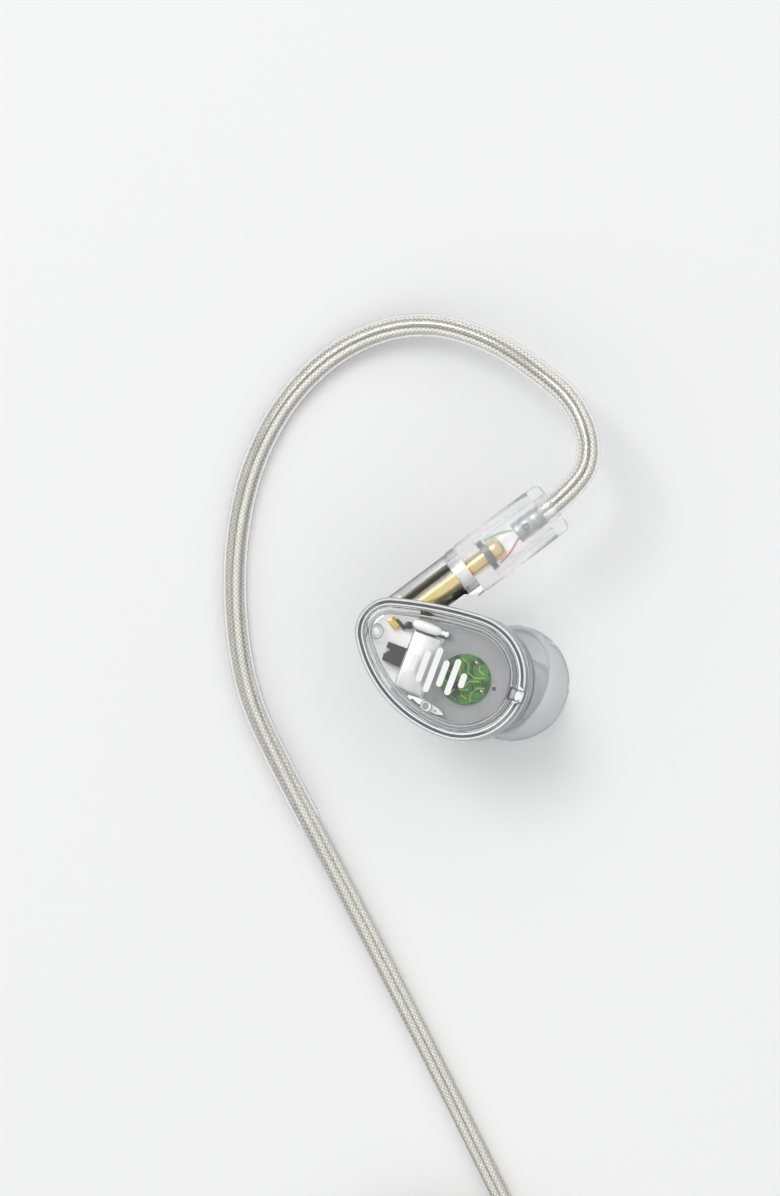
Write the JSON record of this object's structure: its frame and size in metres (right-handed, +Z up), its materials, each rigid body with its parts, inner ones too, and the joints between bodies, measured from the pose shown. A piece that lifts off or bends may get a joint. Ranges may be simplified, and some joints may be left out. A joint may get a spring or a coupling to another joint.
{
  "type": "in-ear monitors",
  "caption": "Clear in-ear monitors with swivelling coaxial plugs, formed over-ear hooks, a Y cable with splitter and slider, and a 3.5 mm headphone plug.",
  "frame": {"origin": "on the table, below the middle of the box that holds both earpieces and their ear hooks", "axes": "+Z up from the table, out of the faces; +Y along the layout towards the right earpiece; +X from the hooks' bows towards the plugs' tails"},
  "size_m": [0.0414, 0.224, 0.0169],
  "materials": {
    "clear_shell": "polished clear polycarbonate",
    "clear_seal": "clear silicone bead",
    "plate_grey": "moulded grey, fine matt",
    "motor_steel": "plated",
    "diaphragm_film": "formed film",
    "green_board": "solder resist over copper tracks",
    "solder_tin": "reflowed solder",
    "armature_nickel": "drawn nickel alloy",
    "black_plastic": "moulded",
    "clear_tube": "extruded clear",
    "wire_insulation": "enamelled and coated copper",
    "gold": "gold plated, polished",
    "clear_insulator": "turned clear",
    "steel_mesh": "woven mesh",
    "silicone": "translucent grey silicone",
    "spring_steel": "polished",
    "frosted_plug": "frosted clear",
    "crimp_steel": "rolled steel",
    "cable_jacket": "clear jacket over silvered strands",
    "clear_splitter": "moulded clear",
    "tie_strap": "woven hook and loop strap",
    "jack_grip": "frosted grip"
  },
  "bodies": {
    "cable_set": {"plug_housing_right": "frosted_plug", "plug_housing_left": "frosted_plug", "plug_barrel_right": "gold", "plug_barrel_left": "gold", "plug_pins": "gold", "plug_washers": "black_plastic", "plug_ferrules": "crimp_steel", "plug_wires": "wire_insulation", "ear_hook_right": "clear_tube", "ear_hook_left": "clear_tube", "branch_cable_right": "cable_jacket", "branch_cable_left": "cable_jacket", "branch_coil": "cable_jacket", "cable_splitter": "clear_splitter", "main_cable": "cable_jacket", "main_coil": "cable_jacket", "cable_ties": "tie_strap", "jack_housing": "jack_grip", "jack_contacts": "gold", "jack_insulators": "black_plastic"},
    "snap_ring_right": {"snap_ring_right": "spring_steel"},
    "earpiece_right": {"rear_shell_right": "clear_shell", "cover_seal_right": "clear_seal", "inner_frame_right": "plate_grey", "driver_basket_right": "plate_grey", "driver_motor_right": "motor_steel", "driver_diaphragm_right": "diaphragm_film", "crossover_board_right": "green_board", "board_parts_right": "solder_tin", "armature_driver_right": "armature_nickel", "driver_bracket_right": "black_plastic", "sound_tubes_right": "clear_tube", "hookup_wires_right": "wire_insulation", "jack_barrel_right": "gold", "jack_insert_right": "clear_insulator", "jack_contact_right": "gold", "nozzle_filter_right": "steel_mesh"},
    "cover_right": {"face_cover_right": "clear_shell"},
    "tip_right": {"ear_tip_right": "silicone"},
    "snap_ring_left": {"snap_ring_left": "spring_steel"},
    "earpiece_left": {"rear_shell_left": "clear_shell", "cover_seal_left": "clear_seal", "inner_frame_left": "plate_grey", "driver_basket_left": "plate_grey", "driver_motor_left": "motor_steel", "driver_diaphragm_left": "diaphragm_film", "crossover_board_left": "green_board", "board_parts_left": "solder_tin", "armature_driver_left": "armature_nickel", "driver_bracket_left": "black_plastic", "sound_tubes_left": "clear_tube", "hookup_wires_left": "wire_insulation", "jack_barrel_left": "gold", "jack_insert_left": "clear_insulator", "jack_contact_left": "gold", "nozzle_filter_left": "steel_mesh"},
    "cover_left": {"face_cover_left": "clear_shell"},
    "tip_left": {"ear_tip_left": "silicone"},
    "slider": {"chin_slider": "clear_splitter"}
  },
  "joints": [
    {"name": "right_swivel", "type": "hinge", "parent": "cable_set", "child": "snap_ring_right", "pos_m": [0.0037, 0.08548, 0.0114], "axis": [0.8, 0.6, 0], "continuous": true},
    {"name": "right_unplug", "type": "slide", "parent": "snap_ring_right", "child": "earpiece_right", "axis": [-0.8, -0.6, 0], "range_m": [0, 0.006]},
    {"name": "right_cover_lift", "type": "slide", "parent": "earpiece_right", "child": "cover_right", "axis": [0, 0, 1], "range_m": [0, 0.006]},
    {"name": "right_tip_pull", "type": "slide", "parent": "earpiece_right", "child": "tip_right", "axis": [0.6113, -0.2722, -0.7431], "range_m": [0, 0.006]},
    {"name": "left_swivel", "type": "hinge", "parent": "cable_set", "child": "snap_ring_left", "pos_m": [0.0037, -0.08548, 0.0114], "axis": [0.8, -0.6, 0], "continuous": true},
    {"name": "left_unplug", "type": "slide", "parent": "snap_ring_left", "child": "earpiece_left", "axis": [-0.8, 0.6, 0], "range_m": [0, 0.006]},
    {"name": "left_cover_lift", "type": "slide", "parent": "earpiece_left", "child": "cover_left", "axis": [0, 0, 1], "range_m": [0, 0.006]},
    {"name": "left_tip_pull", "type": "slide", "parent": "earpiece_left", "child": "tip_left", "axis": [0.6113, 0.2722, -0.7431], "range_m": [0, 0.006]},
    {"name": "slider_run", "type": "slide", "parent": "cable_set", "child": "slider", "axis": [-0.121, 0.9927, 0], "range_m": [0, 0.0045]}
  ]
}
